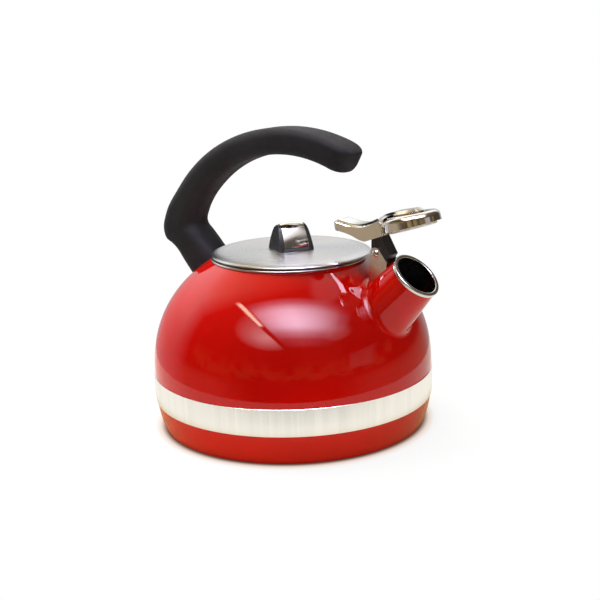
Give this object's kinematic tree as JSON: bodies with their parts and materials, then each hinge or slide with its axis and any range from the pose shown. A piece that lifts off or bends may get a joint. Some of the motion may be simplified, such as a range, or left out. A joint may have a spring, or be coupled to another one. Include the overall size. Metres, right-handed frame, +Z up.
{
  "type": "stovetop whistling kettle",
  "caption": "Domed stovetop kettle with a lift-off lid, a straight angled spout under a hinged flip-up whistle cap and a one-legged handle arched over the lid.",
  "frame": {"origin": "centre of the flat base, on the surface the kettle stands on", "axes": "+Z up along the body's axis, +X from the axis towards the spout, +Y to the left of the spout"},
  "size_m": [0.2353, 0.2002, 0.2106],
  "materials": {
    "enamel": "gloss",
    "band_steel": "polished",
    "lid_steel": "brushed",
    "plain_steel": "satin",
    "chrome": "polished",
    "moulding": "satin",
    "handle": "matte",
    "silicone": "matte",
    "fasteners": "satin"
  },
  "bodies": {
    "kettle": {"body_dome": "enamel", "body_pan": "enamel", "trim_band": "band_steel", "opening_rim": "plain_steel", "spout_tube": "enamel", "spout_rim": "plain_steel", "spout_bracket": "plain_steel", "hinge_pin": "plain_steel", "handle_grip": "handle", "handle_stud": "plain_steel", "handle_screw": "fasteners"},
    "lid": {"lid_plate": "lid_steel", "lid_skirt": "lid_steel", "knob_core": "moulding", "knob_strap": "chrome", "knob_screw": "fasteners", "knob_washer": "fasteners"},
    "whistle": {"whistle_cap": "chrome", "thumb_lever": "chrome", "whistle_arm": "moulding", "arm_screw": "fasteners", "whistle_seal": "silicone", "whistle_disc_upper": "plain_steel", "whistle_disc_lower": "plain_steel", "whistle_spacer": "plain_steel"}
  },
  "joints": [
    {"name": "lid_lift", "type": "slide", "parent": "kettle", "child": "lid", "axis": [0, 0, 1], "range_m": [0, 0.012]},
    {"name": "whistle_hinge", "type": "hinge", "parent": "kettle", "child": "whistle", "pos_m": [0.077, 0, 0.1303], "axis": [0, 1, 0], "range_deg": [0, 58.8]}
  ]
}
